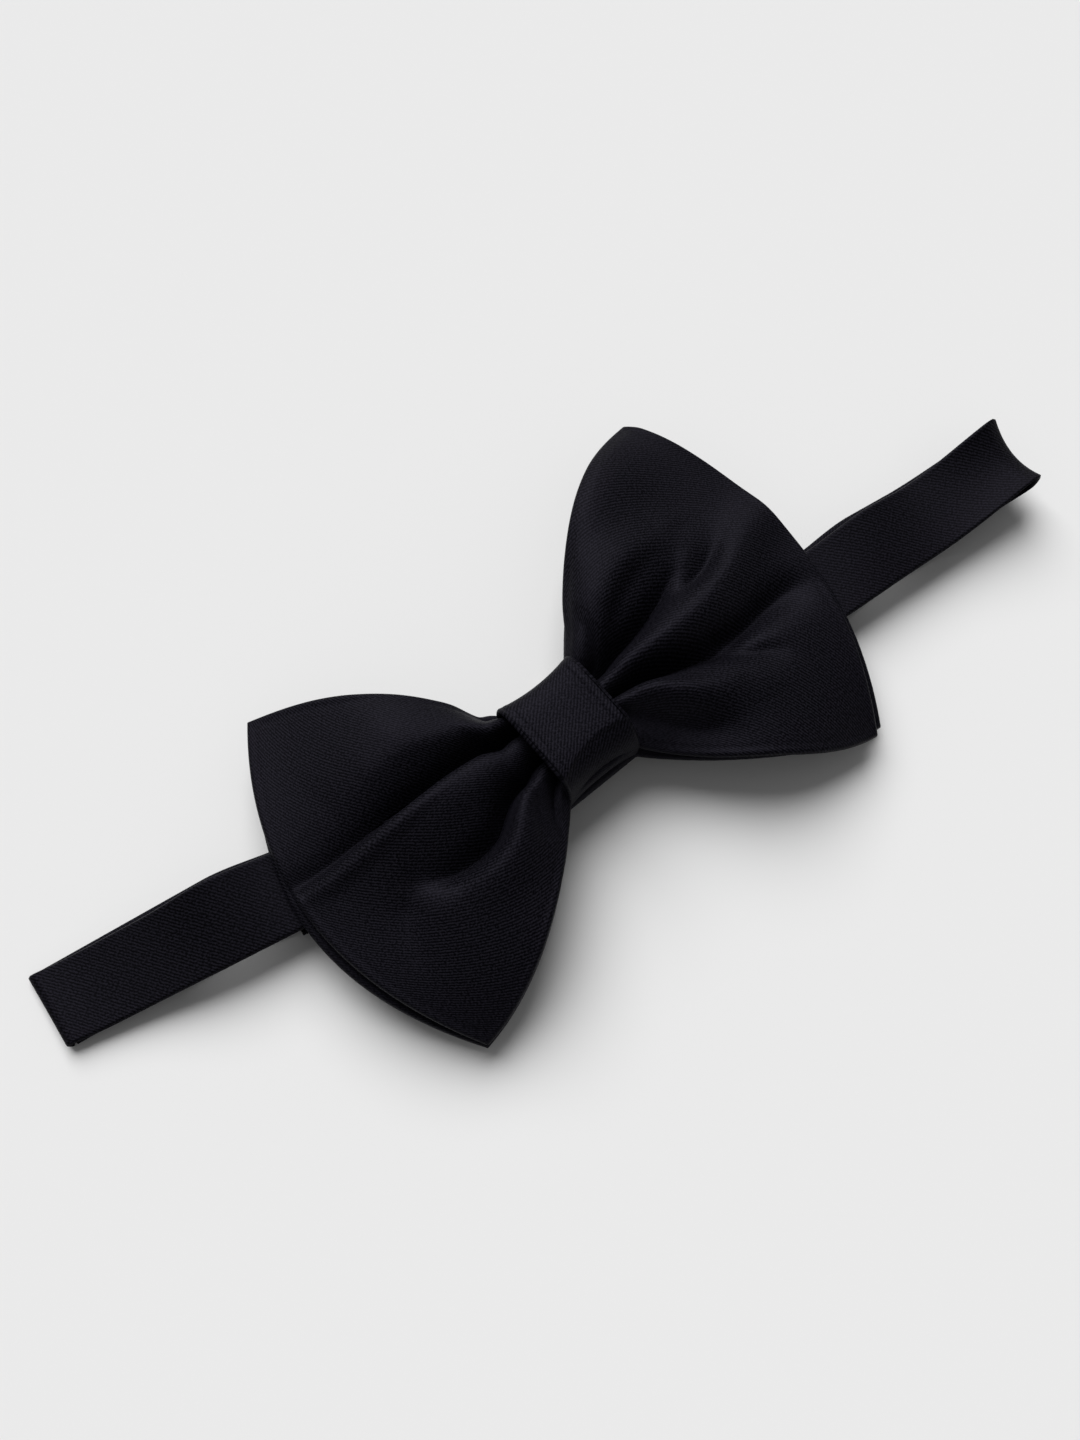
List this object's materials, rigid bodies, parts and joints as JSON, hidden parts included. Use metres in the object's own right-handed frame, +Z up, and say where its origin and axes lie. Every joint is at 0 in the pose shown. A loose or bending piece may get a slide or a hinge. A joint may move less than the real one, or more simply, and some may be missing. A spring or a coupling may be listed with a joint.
{
  "type": "bow tie",
  "caption": "Ready-tied bow tie: two stacked fabric blades gathered by a wrapped knot on a flat folded neckband with hook, eye and slide adjuster.",
  "frame": {"origin": "middle of the footprint, on the surface that the bow tie lies on", "axes": "+X along the neckband towards the wearer's left end of the loop, +Z up out of the front of the bow"},
  "size_m": [0.223, 0.093, 0.021],
  "materials": {
    "satin": "black twill-backed satin, pressed, sewn panels",
    "band": "black twill-backed satin, pressed flat tube",
    "felt": "needle-felt interlining, hidden inside",
    "thread": "black polyester sewing thread",
    "nickel": "nickel-plated pressed steel"
  },
  "bodies": {
    "bow_and_band": {"back_blade_face": "satin", "back_blade_interlining": "felt", "back_blade_lining": "satin", "front_blade_face": "satin", "front_blade_interlining": "felt", "front_blade_lining": "satin", "knot_wrap": "satin", "knot_interlining": "felt", "waist_thread": "thread", "knot_back_stitch": "thread", "neckband_left_run": "band", "neckband_front": "band", "long_side": "band"},
    "left_fold": {"neckband_left_fold": "band"},
    "short_strap_end": {"short_side_end": "band", "short_side": "band", "eye_lead": "band"},
    "eye": {"eye": "nickel", "eye_loop": "band", "eye_bartack": "thread"},
    "adjuster": {"adjuster": "nickel", "adjuster_over_strap": "band", "adjuster_sewn_end": "band"},
    "hook_end": {"hook": "nickel", "hook_loop": "band", "sewn_run": "band", "running_strap": "band"}
  },
  "joints": [
    {"name": "adjuster_slide", "type": "slide", "parent": "bow_and_band", "child": "adjuster", "axis": [1, 0, 0], "range_m": [-0.02, 0.046], "deforming": ["long_side"]},
    {"name": "hook_travel", "type": "slide", "parent": "adjuster", "child": "hook_end", "axis": [1, 0, 0], "range_m": [-0.023, 0.01], "deforming": ["sewn_run", "running_strap"]},
    {"name": "left_fold_travel", "type": "slide", "parent": "bow_and_band", "child": "left_fold", "axis": [1, 0, 0], "range_m": [-0.005, 0.0115], "deforming": ["neckband_left_run"]},
    {"name": "short_end_travel", "type": "slide", "parent": "left_fold", "child": "short_strap_end", "axis": [1, 0, 0], "range_m": [-0.005, 0.0115], "deforming": ["short_side"]},
    {"name": "clasp_release", "type": "slide", "parent": "short_strap_end", "child": "eye", "axis": [0.9063, 0, 0.4226], "range_m": [0, 0.008], "deforming": ["eye_lead"]}
  ],
  "couplings": [
    {"joint": "hook_travel", "follows": "adjuster_slide", "ratio": -0.5},
    {"joint": "left_fold_travel", "follows": "adjuster_slide", "ratio": 0.25},
    {"joint": "short_end_travel", "follows": "adjuster_slide", "ratio": 0.25}
  ]
}
